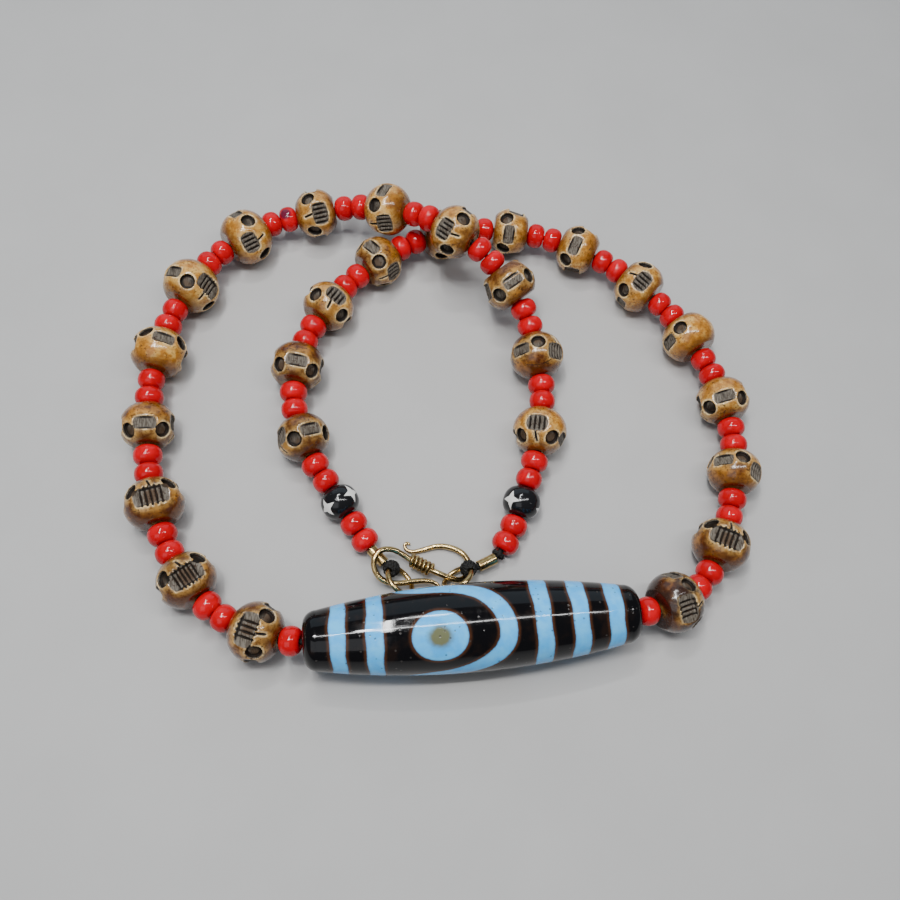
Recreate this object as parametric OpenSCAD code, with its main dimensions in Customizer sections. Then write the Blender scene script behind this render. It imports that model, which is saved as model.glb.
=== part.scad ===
// A folk necklace: one long patterned stone bead, 26 carved bone skull beads,
// 58 red glass beads and 2 black beads on a thread, closed by an S-shaped hook.
// It lies on a flat surface at z = 0. The thread leaves both ends of the long bead,
// and each strand's order of beads is counted from there to the hook.

/* [Long patterned bead] */
// Length of the long bead
dzi_len = 55.1; // [50:0.1:57]
// Diameter at its middle
dzi_dia = 14.4; // [13:0.1:15.4]
// Diameter where its rounded rims begin
dzi_end_dia = 9.7; // [9:0.1:10.4]
// Radius of the rounded rim at each end
dzi_rim = 2.2; // [1.2:0.1:2.6]
// Hole along the long bead
dzi_bore = 1.8; // [1.3:0.1:2.4]

/* [Carved skull beads] */
// Diameter of a skull bead of the usual size
skull_dia = 10; // [9.4:0.1:10.4]
// Length of a skull bead of the usual size, along the string
skull_len = 7.4; // [6.8:0.05:7.7]
// Radius of the arc that rounds a skull bead from end to end
skull_arc = 4.4; // [4.3:0.05:4.8]
// Hole along a skull bead
skull_bore = 1.5; // [1.2:0.1:2]
// Diameter of an eye socket
eye_dia = 2.7; // [2.2:0.1:2.9]
// Depth of an eye socket
eye_depth = 1.0; // [0.6:0.05:1.4]
// How far the eyes sit from the bead's middle, towards the crown
eye_rise = 1.3; // [0.8:0.05:1.5]
// Width along the string of the plain facet at each temple
temple_width = 2.2; // [1.6:0.1:2.6]
// Depth of the plain facet
temple_depth = 0.55; // [0.35:0.05:0.7]
// How far the plain facet sits from the bead's middle, towards the crown
temple_rise = 0.5; // [0:0.05:0.9]
// Width along the string of the facet that carries the teeth
jaw_width = 3; // [2.4:0.1:3.4]
// Usual depth of the facet that carries the teeth
jaw_depth = 0.8; // [0.6:0.05:1]
// How far that facet sits from the bead's middle, towards the chin
jaw_drop = 0.8; // [0.5:0.05:1.2]
// Distance from one cut between the teeth to the next
tooth_pitch = 0.84; // [0.76:0.02:0.96]
// Width of a cut
cut_width = 0.38; // [0.25:0.01:0.5]
// Depth of a cut below its facet
cut_depth = 0.45; // [0.3:0.05:0.6]
// Diameter of the round saw that makes the cuts
saw_dia = 4.6; // [3.6:0.2:5.6]
// Depth of the cut that makes the nose
nose_depth = 0.5; // [0.3:0.05:0.7]
// How far the nose cut sits from the middle of the teeth, towards the crown
nose_rise = 2.4; // [2:0.1:2.8]
// Lean of the nose cut from the string's direction
nose_lean = 12; // [0:1:25]

/* [Small round beads] */
// Diameter of a red bead of the usual size
red_dia = 4.9; // [4.4:0.1:5.2]
// Length of a red bead along the string
red_len = 3.12; // [3:0.02:3.2]
// Hole along a red bead
red_bore = 1.3; // [1.1:0.05:1.5]
// How much one red bead's diameter differs from the next, as a share
red_vary = 0.03; // [0:0.01:0.04]
// Diameter of a black bead
black_dia = 6.7; // [6:0.1:7.2]
// Length of a black bead along the string
black_len = 5.2; // [4.6:0.1:5.6]
// Radius of the arc that rounds a black bead
black_arc = 2.9; // [2.85:0.05:3.2]

/* [Thread, tubes and knots] */
// Diameter of the waxed thread
thread_dia = 0.9; // [0.6:0.05:1]
// Diameter of the brass tube at each end of the string
tube_dia = 2; // [1.8:0.05:2.1]
// Length of the brass tube
tube_len = 3.4; // [3:0.1:3.6]
// Hole along the brass tube
tube_bore = 1.3; // [1.15:0.05:1.5]
// Diameter of the knot round a ring
knot_dia = 2.6; // [2.2:0.05:2.8]
// Length of that knot along the ring's wire
knot_len = 2.3; // [1.8:0.1:2.6]
// Diameter of the stop knot in front of one tube
stop_dia = 2.1; // [1.7:0.1:2.4]
// Length of the stop knot
stop_len = 0.6; // [0.5:0.05:0.8]

/* [Hook and rings] */
// Wire of the S-shaped hook
hook_wire = 1.05; // [0.9:0.05:1.15]
// Wire of the coil wound round the middle of the hook
wrap_wire = 0.6; // [0.45:0.01:0.62]
// Turns of that coil
wrap_turns = 5.5; // [4:0.5:6]
// Distance from one turn to the next
wrap_pitch = 0.74; // [0.7:0.01:0.78]
// Diameter of each ring, at the middle of its wire
ring_dia = 5.3; // [5.1:0.05:5.4]
// Wire of each ring
ring_wire = 0.9; // [0.7:0.05:1]
// Lean of the left strand's ring, which leans on the long bead, from lying flat
left_ring_lean = 52; // [50:1:54]
// Lean of the right strand's ring
right_ring_lean = 48; // [46:1:50]

/* [Hidden] */
$fn = 48;

// Places and clearances
dzi_at = [0.85, -41.4, dzi_dia / 2];
dzi_heading = 0.8;
dzi_axis = [cos(dzi_heading), sin(dzi_heading), 0];
thread_sides = 8;
usual_cuts = 5;
knot_clear = 0.1;
wrap_clear = 0.1;
neck_clear = 0.5;
stop_room = 0.6;
bend_room = 0.13;
wire_sides = 8;
wrap_sides = 6;
wrap_steps = 12;
hook_steps = 3;
route_steps = 20;
past = 1;

// The carved beads in order from the long bead to the hook, one row each:
// diameter and length as shares of the usual size, turn of the plain facet from
// straight up, crown towards the hook (1) or the long bead (-1), the shift of the
// carving towards the crown as a share of the length, the extra room on each side,
// where the strand bends most, as a share of bend_room, the depth of the toothed
// facets as a share of the usual one (0 for none), and the number of their cuts.
SIZE = 0;
LENGTH = 1;
TURN = 2;
CROWN = 3;
SHIFT = 4;
ROOM = 5;
JAW = 6;
CUTS = 7;
left_skulls = [
  [1.00, 1.10, 80, -1, 0.10, 1, 1.3, 4],
  [1.00, 1.02, 95, 1, 0.00, 0, 1.4, 6],
  [1.02, 1.04, 95, 1, 0.08, 0, 1.4, 5],
  [0.97, 1.02, 5, -1, 0.12, 0, 1, 5],
  [1.02, 1.04, 20, 1, 0.06, 0, 1, 5],
  [1.06, 1.10, 150, -1, 0.06, 0, 1.1, 4],
  [1.06, 1.06, 140, 1, -0.06, 0, 0.7, 4],
  [0.95, 1.02, 130, -1, -0.06, 0, 0.8, 5],
  [1.00, 1.08, 170, -1, -0.10, 0, 0.7, 5],
  [1.01, 1.06, 130, 1, 0.00, 0.8, 0.7, 5],
  [1.01, 0.93, 15, 1, -0.08, 0, 1, 5],
  [1.01, 1.11, 50, -1, 0.00, 0, 0.8, 5],
  [0.99, 1.13, 105, 1, 0.16, 0, 0.7, 4]
];
right_skulls = [
  [1.04, 0.95, 120, 1, 0.00, 1.7, 1, 4],
  [1.02, 1.04, 85, 1, 0.06, 0, 1.35, 5],
  [0.97, 0.96, 135, 1, 0.00, 0, 0.8, 4],
  [0.99, 1.02, 160, -1, 0.06, 0, 1, 5],
  [1.02, 0.94, 100, 1, 0.00, 0, 0, 4],
  [1.02, 0.96, 70, 1, 0.00, 0, 0.7, 4],
  [0.97, 0.98, 150, 1, 0.00, 0, 1, 5],
  [0.93, 0.90, 135, 1, 0.00, 0, 1, 5],
  [0.99, 0.96, 40, 1, 0.00, 0, 1, 5],
  [0.98, 0.94, 15, 1, 0.06, 0, 0.7, 4],
  [0.98, 0.94, 70, 1, 0.00, 0, 0.75, 4],
  [1.00, 0.96, 175, 1, 0.10, 0, 1, 5],
  [0.95, 1.02, 160, 1, 0.00, 0, 1, 5]
];

// The route of each strand as it lies, from the long bead's end to its tube's far
// end: x, y, and the height as a share of a skull bead's radius. The left strand
// lies over the right one at the crossing.
left_route = [
  [-36, -39, 1.02],
  [-45.5, -30.5, 1.01],
  [-51.5, -16, 1.03],
  [-53, -1, 0.99],
  [-52, 12.5, 1.03],
  [-46, 28.5, 1.07],
  [-35, 39.5, 1.07],
  [-23.5, 43.5, 1.1],
  [-10.5, 42.4, 1.75],
  [4, 32.9, 2.72],
  [15, 21.5, 1.8],
  [18.5, 8.5, 1.03],
  [17, -6.5, 1.02],
  [11.8, -19.7, 0.68],
  [10.1, -23.8, 0.54],
  [7.7, -27.3, 0.52],
  [6.1, -29, 0.48],
  [3.25, -30.1, 0.53]
];
right_route = [
  [37.5, -39.2, 1.05],
  [45.5, -31.5, 1.03],
  [52, -16, 0.99],
  [53, -1.5, 1],
  [48.5, 13.5, 1.03],
  [41, 24.5, 1.03],
  [30, 34, 0.99],
  [16, 39, 0.95],
  [2.5, 38.5, 1],
  [-10, 32.8, 0.98],
  [-21, 22, 0.98],
  [-27, 9, 1],
  [-26.5, -4.5, 0.98],
  [-20, -17, 0.7],
  [-16, -24, 0.5],
  [-14.6, -26.2, 0.4],
  [-12.8, -28.2, 0.37]
];

// The hook's wire from the tip under the long bead's edge to the tip that lies
// free: x, y, z, and the thickness as a share of the hook's wire.
hook_route = [
  [-4.7, -33.1, 1.7, 0.45],
  [-4.1, -33.4, 1.7, 0.5],
  [-3.8, -32.8, 1.7, 0.6],
  [-4.5, -32.2, 1.8, 0.75],
  [-5.9, -31.8, 1.9, 0.9],
  [-8.1, -31.8, 2, 1],
  [-10.5, -32, 2.2, 1],
  [-12.4, -31.7, 2.3, 1],
  [-13.9, -30.8, 2.6, 1],
  [-14.7, -29.1, 3.2, 1],
  [-14.4, -27.4, 3.7, 1],
  [-13.1, -26.3, 3.7, 1],
  [-11.2, -26.3, 3.3, 1],
  [-9.6, -27.1, 2.75, 1],
  [-8.4, -27.9, 2.4, 1],
  [-6.6, -29, 2.35, 1],
  [-4.8, -30.1, 2.3, 1],
  [-3, -31.1, 2.4, 1],
  [-1.5, -31.8, 2.1, 1],
  [0, -31.9, 1.5, 1],
  [1.2, -31.2, 1.1, 1],
  [1.9, -29.8, 1.05, 1],
  [1.7, -28.2, 1.05, 1],
  [0.7, -26.8, 1, 1],
  [-1.1, -25.8, 0.9, 1],
  [-3.3, -25.4, 0.8, 0.95],
  [-5.6, -25.8, 0.7, 0.85],
  [-7.5, -26.1, 0.65, 0.75],
  [-8.7, -25.7, 0.6, 0.65],
  [-9.1, -24.8, 0.6, 0.55],
  [-8.6, -24.4, 0.6, 0.5],
  [-8.1, -24.7, 0.6, 0.45]
];
wrap_from = [-8.4, -27.9, 2.4];
wrap_to = [-4.8, -30.1, 2.3];

// Each ring: the place of its middle, the heading of its raised side, its lean, and
// the side that carries the knot (1 is to the left of that heading, -1 to the right).
PLACE = 0;
HEADING = 1;
LEAN = 2;
KNOT_SIDE = 3;
left_strand_ring = [[-0.55, -32.05, 3], 308, left_ring_lean, 1];
right_strand_ring = [[-10.4, -31.7, 2.65], 210, right_ring_lean, -1];

// A smooth curve through a list of points
function curve_point(a, b, c, d, t) =
  (2 * b + (c - a) * t + (2 * a - 5 * b + 4 * c - d) * t * t
   + (3 * b - a - 3 * c + d) * t * t * t) / 2;
function before_first(points) = 2 * points[0] - points[1];
function after_last(points) = 2 * points[len(points) - 1] - points[len(points) - 2];
function curve(points, steps) =
  let (all = concat([before_first(points)], points, [after_last(points)]))
  concat(
    [for (i = [1 : len(all) - 3]) for (j = [0 : steps - 1])
      curve_point(all[i - 1], all[i], all[i + 1], all[i + 2], j / steps)],
    [all[len(all) - 2]]
  );

// Running totals of a list, starting at zero
function running(list) =
  [for (i = 0, total = 0; i <= len(list); total = total + (i < len(list) ? list[i] : 0), i = i + 1)
    total];
function step_lengths(points) = [for (i = [1 : len(points) - 1]) norm(points[i] - points[i - 1])];
function sum(list) = running(list)[len(list)];

// A point on a route at a distance along it
function table_of(points, axis) =
  let (at = running(step_lengths(points)))
  [for (i = [0 : len(points) - 1]) [at[i], points[i][axis]]];
function tables(points) = [for (axis = [0 : 2]) table_of(points, axis)];
function at_distance(tables, s) = [for (axis = [0 : 2]) lookup(s, tables[axis])];

// The beads of one strand: red, then a skull and two reds thirteen times, and a
// black bead and two more reds
RED = 0;
SKULL = 1;
BLACK = 2;
bead_count = 43;
black_index = 40;
function kind(k) = k == black_index ? BLACK : (k < black_index - 2 && k % 3 == 1) ? SKULL : RED;
function bead_len(k, skulls) =
  kind(k) == BLACK ? black_len
  : kind(k) == SKULL ? skull_len * skulls[(k - 1) / 3][LENGTH]
  : red_len;

function room(k, skulls) = kind(k) == SKULL ? skulls[(k - 1) / 3][ROOM] : 0;

// The long bead's ends, and a place inside it where the curve of each route starts
start_run = 6.7;
function dzi_end(side) = dzi_at + side * dzi_len / 2 * dzi_axis;
function lifted(points) = [for (p = points) [p[0], p[1], p[2] * skull_dia / 2]];
function route(side, points) =
  curve(concat([dzi_end(side) - side * start_run * dzi_axis, dzi_end(side)], lifted(points)), route_steps);

// Pieces of one strand between the long bead and the far end of the tube share the
// length that is left over, so that each has the same gap to the next; the first
// ones have more room, because the strand bends most where it leaves the long bead
function pieces(skulls, stop) =
  concat([for (k = [0 : bead_count - 1]) bead_len(k, skulls) + 2 * bend_room * room(k, skulls)],
    [stop, tube_len]);
function first_distance(route) = sum([for (i = [1 : route_steps]) norm(route[i] - route[i - 1])]);
function gap_count(stop) = bead_count + (stop > 0 ? 2 : 1);
function gap_of(route, skulls, stop) =
  (sum(step_lengths(route)) - first_distance(route) - bend_room - sum(pieces(skulls, stop)))
  / gap_count(stop);
function pitches(route, skulls, stop) =
  let (gap = gap_of(route, skulls, stop))
  [for (len = pieces(skulls, stop)) len > 0 ? len + gap : 0];

// Boundary points between the pieces of a strand, at the middle of each gap
function boundaries(route, skulls, stop) =
  let (
    lookups = tables(route),
    from = first_distance(route) + gap_of(route, skulls, stop) / 2 + bend_room,
    at = running(pitches(route, skulls, stop))
  )
  [for (s = at) at_distance(lookups, from + s)];

left_curve = route(-1, left_route);
right_curve = route(1, right_route);
left_marks = boundaries(left_curve, left_skulls, stop_len + stop_room);
right_marks = boundaries(right_curve, right_skulls, 0);
stop_index = bead_count;
tube_index = bead_count + 1;

// Puts a piece that is drawn along z between two marks of its strand
module between(marks, k) {
  along = marks[k + 1] - marks[k];
  translate((marks[k] + marks[k + 1]) / 2)
    rotate([0, acos(along[2] / norm(along)), atan2(along[1], along[0])])
      children();
}

// A bead turned from an arc: flat ends, a round belly and a hole
module turned_bead(dia, length, arc, bore) {
  difference() {
    rotate_extrude()
      intersection() {
        union() {
          translate([dia / 2 - arc, 0]) circle(r = arc);
          translate([0, -arc]) square([dia / 2 - arc, 2 * arc]);
        }
        translate([0, -length / 2]) square([dia, length]);
      }
    cylinder(d = bore, h = length + 2 * past, center = true);
  }
}

// Moves to a place on a bead's belly at height z, with +x straight out of the bead
module on_belly(dia, arc, z) {
  translate([dia / 2 - arc, 0, 0])
    rotate([0, -asin(z / arc), 0])
      translate([arc, 0, 0])
        children();
}

// One carved bead with its crown towards +z and a plain facet towards +x
module skull(row) {
  dia = skull_dia * row[SIZE];
  arc = skull_arc * row[SIZE];
  shift = skull_len * row[SHIFT];
  difference() {
    turned_bead(dia, skull_len * row[LENGTH], arc, skull_bore);
    for (side = [0, 180]) rotate(side) {
      on_belly(dia, arc, shift + temple_rise) facet(dia, temple_depth, temple_width);
      for (eye = [45, 135]) rotate(eye)
        on_belly(dia, arc, shift + eye_rise) eye_socket();
      if (row[JAW] > 0) rotate(90) {
        on_belly(dia, arc, shift - jaw_drop) teeth(dia, jaw_depth * row[JAW], row[CUTS]);
        on_belly(dia, arc, shift - jaw_drop + nose_rise) rotate([nose_lean, 0, 0]) saw_cut(nose_depth);
      }
    }
  }
}

module facet(dia, depth, width) {
  translate([-depth, -dia / 2, -width / 2]) cube([dia, dia, width]);
}

module eye_socket() {
  translate([-eye_depth, 0, 0]) rotate([0, 90, 0]) cylinder(d = eye_dia, h = 2 * eye_depth);
}

// A cut by a round saw that runs along the string, which leaves pointed ends
module saw_cut(depth) {
  translate([saw_dia / 2 - depth, 0, 0]) rotate([90, 0, 0])
    cylinder(d = saw_dia, h = cut_width, center = true);
}

// The flat that carries the teeth, and the cuts between them. More cuts than usual
// share the same row.
module teeth(dia, depth, cuts) {
  pitch = tooth_pitch * (usual_cuts - 1) / (max(cuts, usual_cuts) - 1);
  facet(dia, depth, jaw_width);
  for (i = [0 : cuts - 1])
    translate([0, (i - (cuts - 1) / 2) * pitch, 0]) saw_cut(depth + cut_depth);
}

function profile_radius(z) =
  let (
    reach = dzi_len / 2 - dzi_rim,
    drop = (dzi_dia - dzi_end_dia) / 2,
    arc = (reach * reach + drop * drop) / (2 * drop)
  )
  dzi_dia / 2 - arc + sqrt(arc * arc - z * z);
dzi_steps = 12;
dzi_half_profile = concat(
  [for (i = [0 : dzi_steps]) let (z = (dzi_len / 2 - dzi_rim) * i / dzi_steps) [profile_radius(z), z]],
  [for (a = [18 : 18 : 90]) [dzi_end_dia / 2 - dzi_rim * (1 - cos(a)), dzi_len / 2 - dzi_rim * (1 - sin(a))]]
);

module dzi_bead() {
  lower_half = [for (i = [len(dzi_half_profile) - 1 : -1 : 1])
    [dzi_half_profile[i][0], -dzi_half_profile[i][1]]];
  color("#1d1512")
    translate(dzi_at) rotate([0, 90, dzi_heading])
      difference() {
        rotate_extrude()
          polygon(concat([[0, -dzi_len / 2]], lower_half, dzi_half_profile, [[0, dzi_len / 2]]));
        cylinder(d = dzi_bore, h = dzi_len + 2 * past, center = true);
      }
}

module skull_on(marks, skulls, n) {
  row = skulls[n - 1];
  color("#a9712f")
    between(marks, 3 * n - 2)
      rotate(180 + row[TURN]) rotate([row[CROWN] > 0 ? 0 : 180, 0, 0]) skull(row);
}

module black_on(marks) {
  color("#16130f")
    between(marks, black_index) turned_bead(black_dia, black_len, black_arc, red_bore);
}

module reds_on(marks) {
  color("#d3141c")
    for (k = [0 : bead_count - 1]) if (kind(k) == RED)
      between(marks, k)
        turned_bead(red_dia * (1 + red_vary * sin(137 * k)), red_len, red_len / 2, red_bore);
}

// A tube of given radii swept along points, closed at both ends
function unit(v) = v / norm(v);
function heading_at(points, i) =
  unit(points[min(i + 1, len(points) - 1)] - points[max(i - 1, 0)]);
function carried(side, heading) = unit(side - heading * (side * heading));
function first_side(heading) =
  carried(abs(heading[2]) < 0.9 ? [0, 0, 1] : [1, 0, 0], heading);
function sides_along(points) =
  [for (i = 0, side = first_side(heading_at(points, 0)); i < len(points);
      i = i + 1, side = carried(side, heading_at(points, min(i, len(points) - 1)))) side];
module swept(points, radii, sides) {
  last = len(points) - 1;
  across = sides_along(points);
  rings = [for (i = [0 : last])
    let (u = across[i], v = cross(heading_at(points, i), across[i]))
    for (j = [0 : sides - 1])
      points[i] + radii[i] * (u * cos(360 * j / sides) + v * sin(360 * j / sides))];
  walls = [for (i = [0 : last - 1]) for (j = [0 : sides - 1])
    let (a = i * sides + j, b = i * sides + (j + 1) % sides)
    each [[a, b + sides, b], [a, a + sides, b + sides]]];
  polyhedron(
    points = rings,
    faces = concat([[for (j = [0 : sides - 1]) j]], walls,
      [[for (j = [sides - 1 : -1 : 0]) last * sides + j]])
  );
}

// The thread from the middle of the long bead into the tube, where the knot's neck ends
module thread_on(side, marks) {
  back = unit(marks[tube_index] - marks[tube_index + 1]);
  stops = concat([for (k = [0 : tube_index]) marks[k]], [marks[tube_index + 1] + neck_clear * back]);
  points = concat([dzi_at + side * knot_clear * dzi_axis], [dzi_end(side)], stops);
  color("#120f0d")
    swept(points, [for (p = points) thread_dia / 2], thread_sides);
}

module tube_on(marks) {
  color("#b08a4a")
    between(marks, tube_index) difference() {
      cylinder(d = tube_dia, h = tube_len, center = true);
      cylinder(d = tube_bore, h = tube_len + 2 * past, center = true);
    }
}

module stop_knot() {
  color("#120f0d")
    between(left_marks, stop_index) turned_bead(stop_dia, stop_len, stop_len / 2 + 0.1, red_bore);
}

// Everything of a ring is drawn in the ring's own frame, with +x its raised side
module in_ring_frame(ring) {
  translate(ring[PLACE]) rotate(ring[HEADING]) rotate([0, -ring[LEAN], 0]) children();
}

module ring_wire_solid(wire) {
  rotate_extrude() translate([ring_dia / 2, 0]) circle(d = wire);
}

module ring(ring) {
  color("#b08a4a") in_ring_frame(ring) ring_wire_solid(ring_wire);
}

// A knot round the ring's wire, with a neck that reaches back to the tube
function knot_place(ring) =
  let (h = ring[HEADING] + 90 * ring[KNOT_SIDE])
  ring[PLACE] + ring_dia / 2 * [cos(h), sin(h), 0];
module knot(ring, marks) {
  at = knot_place(ring);
  reach = marks[tube_index + 1] - at;
  color("#120f0d")
    difference() {
      union() {
        in_ring_frame(ring)
          translate([0, ring[KNOT_SIDE] * ring_dia / 2, 0]) rotate([0, 90, 0])
            turned_bead(knot_dia, knot_len, knot_len / 2 + 0.1, ring_wire / 2);
        translate(at)
          rotate([0, acos(reach[2] / norm(reach)), atan2(reach[1], reach[0])])
            cylinder(d = thread_dia, h = norm(reach));
      }
      in_ring_frame(ring) ring_wire_solid(ring_wire + 2 * knot_clear);
    }
}

module hook() {
  path = curve(hook_route, hook_steps);
  color("#b08a4a")
    swept([for (p = path) [p[0], p[1], p[2]]], [for (p = path) hook_wire / 2 * p[3]], wire_sides);
}

// The coil round the hook's middle
module hook_wrap() {
  along = wrap_to - wrap_from;
  radius = hook_wire / 2 + wrap_clear + wrap_wire / 2;
  rise = wrap_turns * wrap_pitch;
  steps = wrap_turns * wrap_steps;
  points = [for (i = [0 : steps])
    let (a = 360 * i / wrap_steps) [radius * cos(a), radius * sin(a), rise * (i / steps - 0.5)]];
  color("#b08a4a")
    translate((wrap_from + wrap_to) / 2)
      rotate([0, acos(along[2] / norm(along)), atan2(along[1], along[0])])
        swept(points, [for (p = points) wrap_wire / 2], wrap_sides);
}

dzi_bead();
skull_on(left_marks, left_skulls, 1);  // skull_left_01
skull_on(left_marks, left_skulls, 2);  // skull_left_02
skull_on(left_marks, left_skulls, 3);  // skull_left_03
skull_on(left_marks, left_skulls, 4);  // skull_left_04
skull_on(left_marks, left_skulls, 5);  // skull_left_05
skull_on(left_marks, left_skulls, 6);  // skull_left_06
skull_on(left_marks, left_skulls, 7);  // skull_left_07
skull_on(left_marks, left_skulls, 8);  // skull_left_08
skull_on(left_marks, left_skulls, 9);  // skull_left_09
skull_on(left_marks, left_skulls, 10);  // skull_left_10
skull_on(left_marks, left_skulls, 11);  // skull_left_11
skull_on(left_marks, left_skulls, 12);  // skull_left_12
skull_on(left_marks, left_skulls, 13);  // skull_left_13
skull_on(right_marks, right_skulls, 1);  // skull_right_01
skull_on(right_marks, right_skulls, 2);  // skull_right_02
skull_on(right_marks, right_skulls, 3);  // skull_right_03
skull_on(right_marks, right_skulls, 4);  // skull_right_04
skull_on(right_marks, right_skulls, 5);  // skull_right_05
skull_on(right_marks, right_skulls, 6);  // skull_right_06
skull_on(right_marks, right_skulls, 7);  // skull_right_07
skull_on(right_marks, right_skulls, 8);  // skull_right_08
skull_on(right_marks, right_skulls, 9);  // skull_right_09
skull_on(right_marks, right_skulls, 10);  // skull_right_10
skull_on(right_marks, right_skulls, 11);  // skull_right_11
skull_on(right_marks, right_skulls, 12);  // skull_right_12
skull_on(right_marks, right_skulls, 13);  // skull_right_13
black_on(left_marks);  // black_bead_left
black_on(right_marks);  // black_bead_right
reds_on(left_marks);  // red_beads_left
reds_on(right_marks);  // red_beads_right
thread_on(-1, left_marks);  // thread_left
thread_on(1, right_marks);  // thread_right
tube_on(left_marks);  // tube_left
tube_on(right_marks);  // tube_right
stop_knot();
knot(left_strand_ring, left_marks);  // knot_left
knot(right_strand_ring, right_marks);  // knot_right
ring(left_strand_ring);  // ring_left
ring(right_strand_ring);  // ring_right
hook();
hook_wrap();
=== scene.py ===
# A folk necklace: a long banded stone bead, carved bone skull beads and red glass
# spacers on waxed thread, closed by a brass wire hook. It lies doubled on a table.
import math
import bpy
import numpy as np
from mathutils import Matrix, Vector
from mathutils.kdtree import KDTree


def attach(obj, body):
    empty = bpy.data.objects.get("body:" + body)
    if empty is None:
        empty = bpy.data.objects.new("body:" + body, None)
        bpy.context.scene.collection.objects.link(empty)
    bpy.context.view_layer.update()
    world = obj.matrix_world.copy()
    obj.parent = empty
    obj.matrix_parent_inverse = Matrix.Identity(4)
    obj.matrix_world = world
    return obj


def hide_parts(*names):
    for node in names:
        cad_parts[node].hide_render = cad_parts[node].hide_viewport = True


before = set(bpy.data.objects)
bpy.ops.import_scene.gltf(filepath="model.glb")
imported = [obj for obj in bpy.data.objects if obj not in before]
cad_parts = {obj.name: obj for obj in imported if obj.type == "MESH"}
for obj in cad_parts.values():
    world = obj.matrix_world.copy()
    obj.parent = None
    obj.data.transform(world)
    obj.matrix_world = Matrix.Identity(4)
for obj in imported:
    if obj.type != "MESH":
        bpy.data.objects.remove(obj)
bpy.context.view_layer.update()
MM = 0.001  # sizes below are in millimetres


# Camera: a short way above the table and in front of the necklace, turned a little
# to the right and rolled, with the wide view of a close photograph.
CAMERA_AT = (-17.25, -70.85, 149.66)
CAMERA_HEADING = math.radians(15.6117)
CAMERA_TILT = math.radians(66.015)
CAMERA_ROLL = math.radians(-11.42)
LENS, SENSOR = 35.2, 36
right = Vector((math.cos(CAMERA_HEADING), -math.sin(CAMERA_HEADING), 0))
ahead = Vector((math.sin(CAMERA_HEADING) * math.cos(CAMERA_TILT),
                math.cos(CAMERA_HEADING) * math.cos(CAMERA_TILT), -math.sin(CAMERA_TILT)))
down = ahead.cross(right)
across = right * math.cos(CAMERA_ROLL) + down * math.sin(CAMERA_ROLL)
upwards = ahead.cross(across) * -1
camera = bpy.data.objects.new("camera", bpy.data.cameras.new("camera"))
camera.data.lens = LENS
camera.data.sensor_width = SENSOR
camera.data.clip_start = 5 * MM
camera.matrix_world = Matrix((across, upwards, -ahead)).transposed().to_4x4()
camera.matrix_world.translation = Vector(CAMERA_AT) * MM
bpy.context.scene.collection.objects.link(camera)
bpy.context.scene.camera = camera


# Stone bead: one long agate barrel, drilled end to end, its dark skin etched with
# pale bands, one round eye and a line that bends round the eye. Turned, ground and
# polished by hand, so its surface waves a little and carries pits and scratches.
STONE_AT = np.array((0.85, -41.4, 7.2))
STONE_HEADING = math.radians(0.8)
STONE_LENGTH, STONE_GIRTH, STONE_END = 55.1, 14.4, 9.7
STONE_RIM, STONE_BORE = 2.2, 1.8
STONE_TURNS = 220
FLAT_END = (2.3, 1.9, 1.5, 1.15)  # radii of the rings of points on the flat end


def piece(name, verts, faces, slot, material, stands_for=(), **marks):
    """A mesh in millimetres becomes a smooth piece that rides on the necklace."""
    mesh = bpy.data.meshes.new(name)
    mesh.from_pydata((np.asarray(verts) * MM).tolist(), [], np.asarray(faces).tolist())
    for mark, values in marks.items():
        layer = mesh.attributes.new(mark, "FLOAT", "POINT")
        layer.data.foreach_set("value", np.asarray(values, np.float32))
    mesh.polygons.foreach_set("use_smooth", [True] * len(mesh.polygons))
    mesh.materials.append(material)
    made = bpy.data.objects.new(name, mesh)
    bpy.context.scene.collection.objects.link(made)
    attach(made, "root")
    if stands_for:
        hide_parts(*stands_for)
    return made


def lathe(loop, turns):
    """Turns a closed loop of (height, radius) round the z axis."""
    loop = np.asarray(loop, float)
    around = np.linspace(0, 2 * math.pi, turns, endpoint=False)
    verts = np.stack([np.outer(loop[:, 1], np.cos(around)), np.outer(loop[:, 1], np.sin(around)),
                      np.repeat(loop[:, :1], turns, axis=1)], axis=2).reshape(-1, 3)
    i, j = np.meshgrid(np.arange(len(loop)), np.arange(turns), indexing="ij")
    i2, j2 = (i + 1) % len(loop), (j + 1) % turns
    faces = np.stack([i * turns + j, i * turns + j2, i2 * turns + j2, i2 * turns + j], axis=2)
    return verts, faces.reshape(-1, 4)


def smooth_line(points, each=12):
    """A smooth line of points through a few chosen ones."""
    p = np.asarray(points, float)
    p = np.vstack([2 * p[0] - p[1], p, 2 * p[-1] - p[-2]])
    t = np.linspace(0, 1, each, endpoint=False)[:, None]
    runs = [0.5 * (2 * b + (c - a) * t + (2 * a - 5 * b + 4 * c - d) * t ** 2
                   + (3 * b - a - 3 * c + d) * t ** 3)
            for a, b, c, d in zip(p[:-3], p[1:-2], p[2:-1], p[3:])]
    return np.vstack(runs + [p[-2:-1]])


def distance_to_line(points, line):
    """How far each point lies from a line through a list of points."""
    line = np.asarray(line, float)
    nearest = np.full(len(points), 1e9)
    for a, b in zip(line[:-1], line[1:]):
        along = np.clip((points - a) @ (b - a) / max((b - a) @ (b - a), 1e-12), 0, 1)
        gap = points - a - along[:, None] * (b - a)
        nearest = np.minimum(nearest, np.linalg.norm(gap, axis=1))
    return nearest


def feed(tree, node, inputs):
    """Links or sets a shader node's inputs."""
    for key, value in inputs.items():
        if isinstance(value, bpy.types.NodeSocket):
            tree.links.new(value, node.inputs[key])
        else:
            node.inputs[key].default_value = value


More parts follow.
